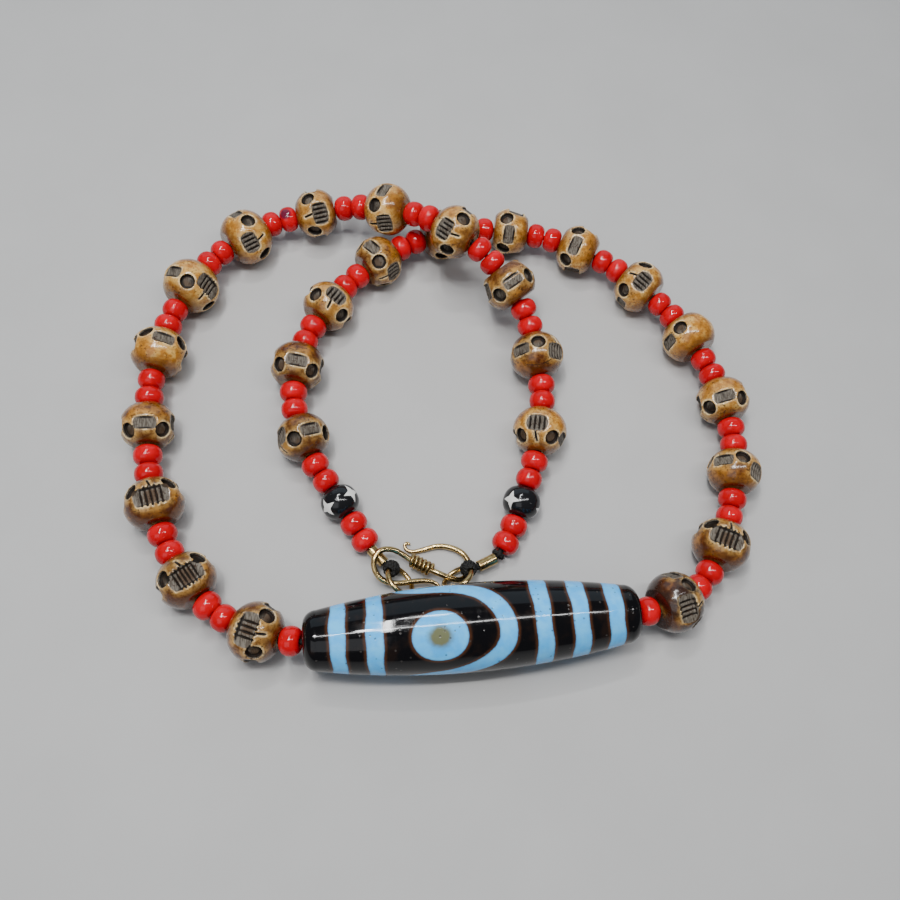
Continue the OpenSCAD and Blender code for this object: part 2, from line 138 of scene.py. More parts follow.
def place(tree, kind, inputs=None, **settings):
    """Adds a shader node, with its settings, and its inputs linked or set."""
    made = tree.nodes.new("ShaderNode" + kind)
    for key, value in settings.items():
        setattr(made, key, value)
    feed(tree, made, inputs or {})
    return made


def worked_out(tree, operation, *values):
    """One step of arithmetic on a shader's values."""
    return place(tree, "Math", dict(enumerate(values)), operation=operation).outputs[0]


def plus(tree, a, b):
    return worked_out(tree, "ADD", a, b)


def minus(tree, a, b):
    return worked_out(tree, "SUBTRACT", a, b)


def times(tree, a, b):
    return worked_out(tree, "MULTIPLY", a, b)


def larger(tree, a, b):
    return worked_out(tree, "MAXIMUM", a, b)


def swing(tree, value, width):
    """A noise round a half becomes one round zero, of that width."""
    return times(tree, minus(tree, value, 0.5), width)


def mixed(tree, share, a, b):
    """Colour a, with b over it by share."""
    a, b = (v if isinstance(v, bpy.types.NodeSocket) else (*v, 1) for v in (a, b))
    return place(tree, "Mix", {0: share, 6: a, 7: b}, data_type="RGBA",
                 clamp_factor=True).outputs[2]


def ramp(tree, value, low, high, out_low=0.0, out_high=1.0):
    """Smooth step of a value between low and high."""
    return place(tree, "MapRange", {0: value, 1: low, 2: high, 3: out_low, 4: out_high},
                 interpolation_type="SMOOTHSTEP").outputs[0]


def noise(tree, where, scale, detail=3.0, rough=0.55, stretch=None):
    """Noise from 0 to 1, with that many spots a millimetre."""
    if stretch:
        where = place(tree, "Mapping", {0: where, "Scale": stretch}).outputs[0]
    return place(tree, "TexNoise", {"Vector": where, "Scale": scale, "Detail": detail,
                                    "Roughness": rough}).outputs[0]


def millimetres(tree):
    """The place on the piece, in millimetres."""
    spot = place(tree, "TexCoord").outputs["Object"]
    return place(tree, "VectorMath", {0: spot, "Scale": 1 / MM}, operation="SCALE").outputs[0]


def mark(tree, name):
    """A value that the mesh carries at its points."""
    return place(tree, "Attribute", attribute_name=name).outputs["Fac"]


def new_material(name):
    """A material, its nodes, and the shader node that draws it."""
    made = bpy.data.materials.new(name)
    made.use_nodes = True
    tree = made.node_tree
    return made, tree, tree.nodes["Principled BSDF"]


def new_group(name, inputs, outputs):
    """A shader group, what it is given, and the node that gives its results."""
    group = bpy.data.node_groups.new(name, "ShaderNodeTree")
    for side, sockets in (("INPUT", inputs), ("OUTPUT", outputs)):
        for label, kind in sockets.items():
            group.interface.new_socket(label, in_out=side, socket_type="NodeSocket" + kind)
    given = group.nodes.new("NodeGroupInput").outputs
    gives = group.nodes.new("NodeGroupOutput")
    return group, given, gives


def use_group(tree, group, inputs):
    """Adds a shader group's node and gives its results."""
    return place(tree, "Group", inputs, node_tree=group).outputs


def bump(tree, height, depth):
    """Surface relief of that depth in millimetres."""
    relief = {"Height": height, "Strength": 1.0, "Distance": depth * MM}
    return place(tree, "Bump", relief).outputs[0]


# Small pits and crossing scratches of handling, used on stone, glass and brass.
SCRATCH_WAYS = [(0.5, (1, 0.05, 0.4)), (-0.9, (0.06, 1, 0.5))]  # turn, and stretch along x, y, z

handling, given, gives = new_group(
    "handling_marks",
    {"Place": "Vector", "Pit Scale": "Float", "Pit Share": "Float", "Scratch Scale": "Float"},
    {"Pits": "Float", "Scratches": "Float", "Height": "Float"})
pit_cells = place(handling, "TexVoronoi", {"Vector": given["Place"], "Scale": given["Pit Scale"]},
                  feature="F1")
pit_draw = place(handling, "SeparateColor", {0: pit_cells.outputs["Color"]}).outputs[0]
pit_choice = worked_out(handling, "LESS_THAN", pit_draw, given["Pit Share"])
pits = times(handling, ramp(handling, pit_cells.outputs["Distance"], 0.12, 0.3, 1.0, 0.0),
             pit_choice)
lines = []
for turn, stretch in SCRATCH_WAYS:
    turned = place(handling, "Mapping", {0: given["Place"], "Rotation": (turn, turn * 0.7, turn),
                                         "Scale": stretch}).outputs[0]
    streak = place(handling, "TexNoise", {"Vector": turned, "Scale": given["Scratch Scale"],
                                          "Detail": 2.0}).outputs[0]
    lines.append(ramp(handling, worked_out(handling, "ABSOLUTE", minus(handling, streak, 0.5)),
                      0.0, 0.012, 1.0, 0.0))
scratches = times(handling, larger(handling, *lines),
                  ramp(handling, noise(handling, given["Place"], 0.3), 0.45, 0.65))
dents = plus(handling, pits, times(handling, scratches, 0.05))
feed(handling, gives, {"Pits": pits, "Scratches": scratches, "Height": minus(handling, 1.0, dents)})


# The stone's shape: an arc of a circle along it, a rounded rim, a flat end and a hole.
reach = STONE_LENGTH / 2 - STONE_RIM
drop = (STONE_GIRTH - STONE_END) / 2
barrel_arc = (reach ** 2 + drop ** 2) / (2 * drop)
turn_of_rim = np.radians(np.linspace(4, 90, 16))
half = np.vstack([
    [(z, STONE_GIRTH / 2 - barrel_arc + math.sqrt(barrel_arc ** 2 - z * z))
     for z in np.linspace(0, reach, 100)],
    np.stack([STONE_LENGTH / 2 - STONE_RIM * (1 - np.sin(turn_of_rim)),
              STONE_END / 2 - STONE_RIM * (1 - np.cos(turn_of_rim))], axis=1),
    [(STONE_LENGTH / 2 - 0.02, r) for r in FLAT_END],
    [(STONE_LENGTH / 2 - 0.12, STONE_BORE / 2 + 0.05), (STONE_LENGTH / 2 - 0.4, STONE_BORE / 2)]])
loop = np.vstack([half, half[::-1] * (-1, 1)])[:-1]
verts, faces = lathe(loop, STONE_TURNS)
axial = verts[:, 2].copy()
turn = np.degrees(np.arctan2(verts[:, 1], verts[:, 0]))  # from straight up towards the front
# It was ground by hand: shallow waves, as shares of the radius.
wave = (0.012 * np.sin(axial * 0.31 + 1.7 * np.sin(np.radians(turn)))
        + 0.015 * np.sin(np.radians(turn) * 3 + axial * 0.11)
        + 0.004 * np.sin(axial * 0.9 + np.radians(turn) * 5))
radial = np.hypot(verts[:, 0], verts[:, 1])
verts[:, :2] *= (1 + wave * (radial > 2) / np.maximum(radial, 1))[:, None]
stone = np.stack([axial * math.cos(STONE_HEADING) + verts[:, 1] * math.sin(STONE_HEADING),
                  axial * math.sin(STONE_HEADING) - verts[:, 1] * math.cos(STONE_HEADING),
                  verts[:, 0]], axis=1) + STONE_AT
x = axial + STONE_AT[0]
girth_step = math.radians(1) * STONE_GIRTH / 2

# The pattern's places were chosen one by one: x along the bead, and the turn in degrees
# from straight up towards the front. A band has its middle and its width.
BANDS = [(-21.05, 2.5), (-15.3, 2.65), (11.35, 2.75), (17.55, 2.8), (23.6, 2.8)]
EYE_X, EYE_TURN, EYE_WIDE, EYE_HIGH = -5.3, 20, 4.45, 4.2
LINE_WIDE = 2.85
UPPER_LEG = [(5.5, 18), (5.35, 8), (4.8, -5), (4.0, -16), (2.9, -27), (1.3, -38), (-1.2, -48),
             (-4, -54), (-8, -59), (-10.4, -68), (-11.3, -86), (-11.6, -120), (-11.6, -170)]
LOWER_LEG = [(5.5, 18), (5.3, 30), (4.6, 42), (3.4, 53), (1.8, 63), (-0.5, 74), (-3.5, 84),
             (-7, 92), (-9.8, 104), (-11.1, 122), (-11.6, 150), (-11.6, 190)]
edge = np.full(len(x), 99.0)  # how far outside the pattern a point lies
for middle, wide in BANDS:
    wobble = (0.16 * np.sin(np.radians(turn) * 2 + middle)
              + 0.07 * np.sin(np.radians(turn) * 7 + middle * 3))
    fatter = 0.08 * np.sin(np.radians(turn) * 3 + 2 * middle)
    edge = np.minimum(edge, np.abs(x - middle - wobble) - wide / 2 - fatter)
for shift in (-360, 0, 360):
    flat = np.stack([x, (turn + shift) * girth_step], axis=1)
    for leg in (UPPER_LEG, LOWER_LEG):
        line = smooth_line(leg) * (1, girth_step)
        edge = np.minimum(edge, distance_to_line(flat, line) - LINE_WIDE / 2)
from_eye = np.hypot((x - EYE_X) / EYE_WIDE, (turn - EYE_TURN) * girth_step / EYE_HIGH)
edge = np.minimum(edge, (from_eye - 1) * EYE_HIGH)

# Dark agate, brown close to the pattern, with pale etching that is duller at its edges.
AGATE_BLACK, AGATE_BROWN = (0.003, 0.0028, 0.0034), (0.07, 0.026, 0.011)
AGATE_CLOUD = (0.016, 0.008, 0.005)
ETCHED_DEEP, ETCHED_PALE = (0.05, 0.43, 0.94), (0.11, 0.55, 1.0)
ETCHED_EDGE = (0.10, 0.29, 0.46)
PUPIL, PIT_DUST = (0.14, 0.150, 0.080), (0.05, 0.045, 0.04)

stone_skin, tree, shader = new_material("etched_agate")
spot = millimetres(tree)
marks = use_group(tree, handling, {"Place": spot, "Pit Scale": 1.3, "Pit Share": 0.16,
                                   "Scratch Scale": 1.2})
ragged = plus(tree, mark(tree, "pattern_edge"), swing(tree, noise(tree, spot, 1.6), 0.18))
pale = ramp(tree, ragged, 0.08, -0.16)
halo = ramp(tree, ragged, 0.7, 0.05)
cloud = noise(tree, spot, 0.35)
body = mixed(tree, times(tree, halo, 0.9), AGATE_BLACK, AGATE_BROWN)
body = mixed(tree, ramp(tree, cloud, 0.5, 0.75, 0, 0.6), body, AGATE_CLOUD)
etched = mixed(tree, ramp(tree, noise(tree, spot, 0.5), 0.3, 0.75), ETCHED_DEEP, ETCHED_PALE)
etched = mixed(tree, ramp(tree, ragged, -0.4, -0.05, 0, 0.45), etched, ETCHED_EDGE)
eye_spot = plus(tree, mark(tree, "eye_edge"), swing(tree, noise(tree, spot, 1.0), 0.14))
etched = mixed(tree, ramp(tree, eye_spot, 0.58, 0.26), etched, PUPIL)
colour = mixed(tree, pale, body, etched)
colour = mixed(tree, times(tree, marks["Pits"], 0.7), colour, PIT_DUST)
dull = plus(tree, times(tree, larger(tree, marks["Pits"], marks["Scratches"]), 0.1),
            ramp(tree, cloud, 0.3, 0.7, 0.06, 0.13))
relief = plus(tree, marks["Height"], times(tree, noise(tree, spot, 2.5), 0.05))
feed(tree, shader, {"Base Color": colour, "Roughness": dull, "Normal": bump(tree, relief, 0.03),
                    "Specular IOR Level": 0.32})
piece("stone_bead", stone, faces, "dzi", stone_skin, ["dzi_bead"],
      pattern_edge=edge, eye_edge=from_eye)


# Skull beads: 26 turned barrels of ox bone, each with four round sockets, two plain
# facets, two facets with teeth and a nose cut. Stained with tea, polished by wear, with
# pale worn rims, partly a painted highlight, and dull grey floors in the cuts.
BONE_GRAIN, BONE_ROUNDING = 0.14, 5  # steps of the even mesh, and how often it is softened
WORN_FACES = 19000
SKULL_RADIUS, SKULL_ARC = 5, 4.4  # the solid barrel's belly, and the arc along it
CUT_EDGE, DEEPEST_CUT, END_RIM = 0.14, 3, 0.12


def joined_mesh(points, triangles):
    """Welds points that lie in the same place."""
    keys, back = np.unique(np.round(points, 4), axis=0, return_inverse=True)
    return keys, back.reshape(-1)[triangles]


def cad_mesh(node):
    """A solid's points in millimetres and its triangles."""
    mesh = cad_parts[node].data
    points = np.empty(len(mesh.vertices) * 3, np.float32)
    mesh.vertices.foreach_get("co", points)
    mesh.calc_loop_triangles()
    triangles = np.empty(len(mesh.loop_triangles) * 3, np.int32)
    mesh.loop_triangles.foreach_get("vertices", triangles)
    return joined_mesh(points.reshape(-1, 3).astype(float) * 1000, triangles.reshape(-1, 3))


def bead_frame(points, triangles, hole_reach=1.2):
    """Middle, axis and length of a drilled bead, from its two flat ends."""
    a, b, c = (points[triangles[:, k]] for k in range(3))
    area = np.cross(b - a, c - a)
    size = np.linalg.norm(area, axis=1)
    good = size > 1e-9
    facing = area[good] / size[good, None]
    facing *= np.where(np.abs(facing[:, :1]) > 1e-3, np.sign(facing[:, :1]),
                       np.sign(facing[:, 1:2] + 1e-9))
    _, group = np.unique(np.round(facing, 2), axis=0, return_inverse=True)
    total = np.bincount(group.reshape(-1), size[good])
    chosen = group.reshape(-1) == np.argmax(total)
    axis = (facing[chosen] * size[good][chosen, None]).sum(0)
    axis /= np.linalg.norm(axis)
    along = points @ axis
    low, high = along.min(), along.max()
    ends = points[(along < low + 0.01) | (along > high - 0.01)]
    middle = ends.mean(0)
    for _ in range(6):
        off = ends - middle
        off -= np.outer(off @ axis, axis)
        near = np.linalg.norm(off, axis=1) < hole_reach
        if near.any():
            middle = middle + off[near].mean(0)
    middle += axis * ((low + high) / 2 - middle @ axis)
    return middle, axis, high - low


def round_axis(points, middle, axis):
    """Each point's height along a bead's axis, and its distance from the axis."""
    off = points - middle
    height = off @ axis
    return height, np.linalg.norm(off - np.outer(height, axis), axis=1)


def evaluated(name, points, faces, modifiers):
    """Runs modifiers on a mesh and gives back its points and faces."""
    mesh = bpy.data.meshes.new(name)
    mesh.from_pydata(np.asarray(points).tolist(), [], np.asarray(faces).tolist())
    body = bpy.data.objects.new(name, mesh)
    bpy.context.scene.collection.objects.link(body)
    for kind, settings in modifiers:
        step = body.modifiers.new(kind.lower(), kind)
        for key, value in settings.items():
            setattr(step, key, value)
    ready = body.evaluated_get(bpy.context.evaluated_depsgraph_get()).to_mesh()
    points = np.empty(len(ready.vertices) * 3, np.float32)
    ready.vertices.foreach_get("co", points)
    corners = np.empty(len(ready.loops), np.int32)
    ready.loops.foreach_get("vertex_index", corners)
    starts = np.empty(len(ready.polygons), np.int32)
    ready.polygons.foreach_get("loop_start", starts)
    faces = np.split(corners, starts[1:])
    bpy.data.objects.remove(body)
    bpy.data.meshes.remove(mesh)
    return points.reshape(-1, 3).astype(float), faces


def edges_of(faces):
    """The edges of equal-sided faces, each once."""
    following = np.roll(faces, -1, axis=1)
    runs = [np.stack([faces[:, k], following[:, k]], axis=1) for k in range(faces.shape[1])]
    return np.unique(np.sort(np.vstack(runs), axis=1), axis=0)


def neighbour_mean(edges, count, values):
    """Mean over each point's neighbours."""
    values = values.reshape(count, -1)
    total = np.stack([np.bincount(edges[:, 0], values[edges[:, 1], k], count)
                      + np.bincount(edges[:, 1], values[edges[:, 0], k], count)
                      for k in range(values.shape[1])], axis=1)
    number = np.bincount(edges.reshape(-1), minlength=count)[:, None]
    return total / np.maximum(number, 1)


def outward(points, faces):
    """Unit normals at the points."""
    a, b, c = (points[faces[:, k]] for k in (0, 1, 2))
    facing = np.cross(b - a, c - a)
    corners = faces[:, :3].reshape(-1)
    total = np.stack([np.bincount(corners, np.repeat(facing[:, k], 3), len(points))
                      for k in range(3)], axis=1)
    return total / np.maximum(np.linalg.norm(total, axis=1), 1e-12)[:, None]


def worn_copy(points, triangles, grain, rounds, pulls=(0.6, -0.58)):
    """An even mesh over a solid, its edges rounded as by handling, without shrinking it."""
    points, faces = evaluated("worn", points, triangles,
                              [("REMESH", dict(mode="VOXEL", voxel_size=grain))])
    faces = np.array(faces)
    edges = edges_of(faces)
    for _ in range(rounds):
        for pull in pulls:
            points = points + pull * (neighbour_mean(edges, len(points), points) - points)
    return points, faces, edges


def hollows(points, faces, edges, grain, spread=3):
    """Bend of the surface at each point: above 0 in a groove, below 0 on a rim."""
    pull = neighbour_mean(edges, len(points), points) - points
    bend = (pull * outward(points, faces)).sum(1) / grain ** 2
    for _ in range(spread):
        bend = neighbour_mean(edges, len(points), bend)[:, 0]
    return bend


def sunk_depth(points, faces, edges, rounds=14):
    """How far, in millimetres, each point lies below the softened surface."""
    soft = points
    for _ in range(rounds):
        soft = neighbour_mean(edges, len(points), soft)
    return ((soft - points) * outward(points, faces)).sum(1)


def nearest_values(points, sources, *values):
    """The distance to the nearest source point, and its values."""
    finder = KDTree(len(sources))
    for i, p in enumerate(sources):
        finder.insert(p, i)
    finder.balance()
    found = [finder.find(p) for p in points]
    index = np.array([f[1] for f in found])
    return [np.array([f[2] for f in found])] + [v[index] for v in values]


# Tea stain from dark to golden to pale, darker in the grain and at the ends, rubbed paler
# beside the cuts. Burnt beads are nearly black. The rims are cream: worn pale bone, and partly
# a painted highlight on the raised edges. The floors of the facets are grey, and of the
# sockets brown, with black grime and painted shade in the corners.
STAIN_DARK, STAIN_GOLD = (0.070, 0.016, 0.002), (0.46, 0.190, 0.024)
STAIN_PALE, RUBBED = (0.80, 0.51, 0.13), (0.62, 0.37, 0.10)
GRAIN_BROWN, END_BROWN = (0.09, 0.03, 0.007), (0.085, 0.024, 0.004)
BURNT, RIM_CREAM_AND_HIGHLIGHT = (0.028, 0.011, 0.006), (0.90, 0.69, 0.36)
FLOOR_DARK, FLOOR_GREY = (0.060, 0.047, 0.034), (0.165, 0.145, 0.118)
SOCKET_BROWN = (0.075, 0.044, 0.024)
GRIME_AND_SHADE, PORE, CRACK = (0.005, 0.003, 0.002), (0.03, 0.010, 0.004), (0.01, 0.006, 0.004)

carved_bone, given, gives = new_group(
    "carved_bone",
    {"Place": "Vector", **{label: "Float" for label in (
        "Along", "Cut", "Bend", "Near", "Sunk", "Flaw", "Gold", "Burnt")}},
    {"Colour": "Color", "Roughness": "Float", "Coat": "Float", "Height": "Float"})
tree, spot = carved_bone, given["Place"]
patch = noise(tree, spot, 0.28)
mottle = noise(tree, spot, 0.9, 4.0, 0.6)
grain_lines = noise(tree, spot, 1.1, 4.0, 0.6, (1, 3.5, 1))
pores = times(tree, ramp(tree, noise(tree, spot, 2.6, 2.0, 0.5), 0.575, 0.64),
              ramp(tree, noise(tree, spot, 0.45), 0.42, 0.6, 0.2, 1.0))
tone = plus(tree, given["Gold"], plus(tree, swing(tree, patch, 1.5), swing(tree, mottle, 1.4)))
skin = mixed(tree, ramp(tree, tone, 0.05, 1.0), STAIN_DARK, STAIN_GOLD)
skin = mixed(tree, ramp(tree, tone, 0.8, 1.2, 0, 0.65), skin, STAIN_PALE)
skin = mixed(tree, ramp(tree, grain_lines, 0.5, 0.7, 0, 0.35), skin, GRAIN_BROWN)
skin = mixed(tree, ramp(tree, given["Along"], 0.45, 1.0, 0, 0.75), skin, END_BROWN)
rubbed = times(tree, ramp(tree, given["Near"], 1.5, 0.2, 0, 0.5),
               ramp(tree, mottle, 0.35, 0.6, 0.3, 1.0))
skin = mixed(tree, rubbed, skin, RUBBED)
burn = times(tree, ramp(tree, given["Burnt"], 0.05, 1.0), ramp(tree, patch, 0.64, 0.44))
skin = mixed(tree, burn, skin, BURNT)
# Partly painted highlight: raised edges and rims beside the cuts turn cream, for worn pale bone and
# for the shine on them.
rim_and_highlight = times(tree, larger(tree, ramp(tree, given["Near"], 0.5, 0.1),
                         ramp(tree, given["Bend"], -0.3, -1.0)),
            ramp(tree, noise(tree, spot, 0.6), 0.42, 0.6, 0.12, 1.0))
rim_and_highlight = times(tree, rim_and_highlight, minus(tree, ramp(tree, given["Gold"], 0.0, 0.9, 0.5, 0.9),
                             times(tree, burn, 0.3)))
skin = mixed(tree, rim_and_highlight, skin, RIM_CREAM_AND_HIGHLIGHT)
tool_marks = noise(tree, spot, 2.6, 2.0, 0.5, (4.0, 0.3, 0.6))
cut_floor = mixed(tree, ramp(tree, tool_marks, 0.38, 0.62), FLOOR_DARK, FLOOR_GREY)
cut_floor = mixed(tree, ramp(tree, given["Cut"], 0.9, 1.0, 0, 0.8), cut_floor, SOCKET_BROWN)
cut_share = ramp(tree, given["Cut"], 0.07, 0.16)
skin = mixed(tree, cut_share, skin, cut_floor)
# Partly painted shade: grooves and hollows turn near-black, for dirt and for the shade that falls
# in them.
grime_and_shade = larger(tree, ramp(tree, given["Sunk"], 0.018, 0.06), ramp(tree, given["Bend"], 0.3, 1.0))
skin = mixed(tree, times(tree, grime_and_shade, 0.93), skin, GRIME_AND_SHADE)
skin = mixed(tree, times(tree, pores, 0.8), skin, PORE)
skin = mixed(tree, ramp(tree, given["Flaw"], 0.16, 0.06, 0, 0.95), skin, CRACK)
dents = plus(tree, times(tree, pores, 0.8), times(tree, times(tree, cut_share, tool_marks), 0.6))
feed(tree, gives, {
    "Colour": skin,
    "Roughness": plus(tree, ramp(tree, cut_share, 0, 1, 0.2, 0.5), times(tree, mottle, 0.16)),
    "Coat": ramp(tree, cut_share, 0, 1, 0.85, 0),
    "Height": minus(tree, times(tree, mottle, 0.9), dents)})

# Each bead's tone: how golden it is, and how burnt. Two beads have a fine crack, and one
# has a pinhole, each a line of places in the necklace.
TONES = {
    "left": [(.25, .2), (.3, .1), (.3, 0), (.4, 0), (.85, 0), (.95, 0), (.85, 0),
             (.6, .1), (.85, 0), (.7, 0), (.3, .1), (.35, .1), (.75, 0)],
    "right": [(.1, 1), (.35, .3), (.55, 0), (.8, 0), (.9, 0), (.85, 0), (.75, 0),
              (.75, 0), (.5, 0), (.4, .1), (.75, 0), (.25, .2), (.25, .3)]}
FLAWS = {("left", 10): [(1.7, 28.7, 14.8), (3.5, 28.2, 15.2), (5.3, 28.5, 15.6), (6.8, 29.0, 15.1)],
         ("left", 12): [(13.5, 8.1, 6.7), (15.8, 6.0, 8.4), (18.2, 5.7, 9.0), (20.0, 6.5, 9.3)],
         ("right", 5): [(48.7, 8.7, 8.6), (48.9, 8.7, 8.6)]}
for strand, tones in TONES.items():
    for number, (gold, burnt) in enumerate(tones, 1):
        node = f"skull_{strand}_{number:02d}"
        points, triangles = cad_mesh(node)
        middle, axis, length = bead_frame(points, triangles)
        fine, faces, edges = worn_copy(points, triangles, BONE_GRAIN, BONE_ROUNDING)
        bend = hollows(fine, faces, edges, BONE_GRAIN)
        sunk = sunk_depth(fine, faces, edges)
        thinning = dict(ratio=WORN_FACES / (2 * len(faces)), use_collapse_triangulate=True)
        verts, faces = evaluated("fewer", fine, faces, [("DECIMATE", thinning)])
        _, bend, sunk = nearest_values(verts, fine, bend, sunk)
        height, radius = round_axis(verts, middle, axis)
        size = np.percentile(radius, 99.8) / SKULL_RADIUS
        arc = SKULL_ARC * size
        belly = SKULL_RADIUS * size - arc + np.sqrt(np.maximum(arc ** 2 - height ** 2, 0.01))
        on_side = np.abs(height) < length / 2 - END_RIM
        cut = np.where(on_side, np.clip(belly - radius, 0, DEEPEST_CUT), 0)
        (near,) = nearest_values(verts, verts[cut > CUT_EDGE])
        flaw = np.minimum(distance_to_line(verts, FLAWS.get((strand, number), [])), 9)
        bone, tree, shader = new_material(f"bone_{strand}_{number:02d}")
        own_place = (number * 17.0, number * 5.0, len(strand) * 9.0)  # no two beads alike
        spot = place(tree, "VectorMath", {0: millimetres(tree), 1: own_place},
                     operation="ADD").outputs[0]
        marks = {label: mark(tree, label.lower())
                 for label in ("Along", "Cut", "Bend", "Near", "Sunk", "Flaw")}
        look = use_group(tree, carved_bone, {"Place": spot, **marks, "Gold": gold, "Burnt": burnt})
        feed(tree, shader, {"Base Color": look["Colour"], "Roughness": look["Roughness"],
                            "Coat Weight": look["Coat"], "Coat Roughness": 0.15,
                            "Specular IOR Level": 0.15,
                            "Normal": bump(tree, look["Height"], 0.035)})
        piece(f"carved_skull_{strand}_{number:02d}", verts, faces, "bone", bone, [node],
              along=np.abs(height) / (length / 2), cut=cut, bend=bend, near=near, sunk=sunk,
              flaw=flaw)


# Red beads: 58 opaque red glass beads, wound round and fire-polished, so each differs
# a little in size. They sit in twos between the skulls and nearly touch.
RED_LENGTH, RED_BORE = 3.36, 1.3
RED_FULLNESS, RED_TURNS, RED_STEPS = 0.86, 36, 19
UNEVEN_LENGTH, UNEVEN_GIRTH = 0.02, 0.012  # shares by which the beads differ
DARK_SPOT_AT = (-28.2, 42.3, 7.6)  # one bead has a dark spot


def loose_parts(points, triangles):
    """Splits a mesh into its separate solids."""
    label = np.arange(len(points))
    while True:
        low = label[triangles].min(1)
        fresh = label.copy()
        np.minimum.at(fresh, triangles.reshape(-1), np.repeat(low, 3))
        fresh = fresh[fresh]
        if (fresh == label).all():
            break
        label = fresh
    for value in np.unique(label):
        keep = np.flatnonzero(label == value)
        back = np.full(len(points), -1)
        back[keep] = np.arange(len(keep))
        yield points[keep], back[triangles[label[triangles[:, 0]] == value]]


def set_on(verts, middle, axis):
    """Turns a lathed bead's z axis onto the string, and puts it in its place."""
    turn = np.array(Vector((0, 0, 1)).rotation_difference(Vector(axis)).to_matrix())
    return verts @ turn.T + middle


def round_bead(length, girth, bore, fullness, turns, steps):
    """A bead: a full round belly, softly rounded into the bore."""
    t = np.linspace(-math.pi / 2, math.pi / 2, steps)
    z = length / 2 * np.sign(np.sin(t)) * np.abs(np.sin(t)) ** fullness
    thick = (girth - bore) / 2
    r = bore / 2 + thick * (0.28 + 0.72 * np.abs(np.cos(t)) ** (2 - fullness))
    lip, hole = length / 2 - 0.03, length / 2 - 0.25
    inside = [(lip, bore / 2 + 0.18 * thick), (hole, bore / 2), (0, bore / 2),
              (-hole, bore / 2), (-lip, bore / 2 + 0.18 * thick)]
    return lathe(np.vstack([np.stack([z, r], axis=1), inside]), turns)


RED_DEEP, RED_BRIGHT = (0.44, 0.0, 0.005), (0.60, 0.0, 0.009)
HOLE_ORANGE, RED_PIT, SPOT_PURPLE = (0.55, 0.06, 0.03), (0.15, 0.01, 0.01), (0.06, 0.012, 0.035)

red_glass, tree, shader = new_material("red_glass")
spot = millimetres(tree)
marks = use_group(tree, handling, {"Place": spot, "Pit Scale": 2.2, "Pit Share": 0.04,
                                   "Scratch Scale": 2.0})
colour = mixed(tree, ramp(tree, noise(tree, spot, 0.35), 0.35, 0.7), RED_DEEP, RED_BRIGHT)
colour = mixed(tree, ramp(tree, mark(tree, "near_hole"), 0.55, 0.9, 0, 0.5), colour, HOLE_ORANGE)
colour = mixed(tree, times(tree, marks["Pits"], 0.6), colour, RED_PIT)
colour = mixed(tree, ramp(tree, mark(tree, "from_spot"), 1.35, 0.8, 0, 0.85), colour, SPOT_PURPLE)
dull = plus(tree, times(tree, marks["Scratches"], 0.25), 0.08)
relief = plus(tree, marks["Height"], noise(tree, spot, 0.9))
feed(tree, shader, {"Base Color": colour, "Roughness": dull, "Normal": bump(tree, relief, 0.012),
                    "Specular IOR Level": 0.36})
for strand in ("left", "right"):
    node = f"red_beads_{strand}"
    all_verts, all_faces, near_hole, from_spot, count = [], [], [], [], 0
    for number, (points, triangles) in enumerate(loose_parts(*cad_mesh(node))):
        middle, axis, length = bead_frame(points, triangles)
        girth = 2 * round_axis(points, middle, axis)[1].max()
        length = RED_LENGTH * (1 + UNEVEN_LENGTH * math.sin(3.1 * number))
        verts, faces = round_bead(length, girth, RED_BORE, RED_FULLNESS, RED_TURNS, RED_STEPS)
        outside = np.hypot(verts[:, 0], verts[:, 1]) - RED_BORE / 2
        near_hole.append(1 - np.clip(outside / 1.4, 0, 1))
        around = np.arctan2(verts[:, 1], verts[:, 0])
        verts[:, :2] *= (1 + UNEVEN_GIRTH * np.sin(2 * around + number * 1.9))[:, None]
        all_verts.append(set_on(verts, middle, axis))
        all_faces.append(faces + count)
        from_spot.append(np.linalg.norm(all_verts[-1] - DARK_SPOT_AT, axis=1))
        count += len(verts)
    piece(f"red_glass_{strand}", np.vstack(all_verts), np.vstack(all_faces), "red_glass", red_glass,
          [node], near_hole=np.concatenate(near_hole), from_spot=np.concatenate(from_spot))


# Black beads: one glazed black bead near each end of the string, with three or four
# white four-pointed stars painted under the glaze round its belly.
BLACK_BORE = 1.3
BLACK_FULLNESS, BLACK_TURNS, BLACK_STEPS = 0.9, 110, 70
STAR_REACH, STAR_WAIST = 1.8, 0.72
# Of each bead: which way its first star faces, how far along the bead its stars sit, and
# how many degrees round the belly each one is from the first.
STARS = {"left": ((-0.68, -0.02, 0.72), -0.65, (0, 125, -125)),
         "right": ((-0.71, -0.40, 0.58), 0.1, (0, -96, 88, 175))}
GLAZE_BLACK, STAR_WHITE = (0.008, 0.008, 0.009), (0.75, 0.74, 0.70)

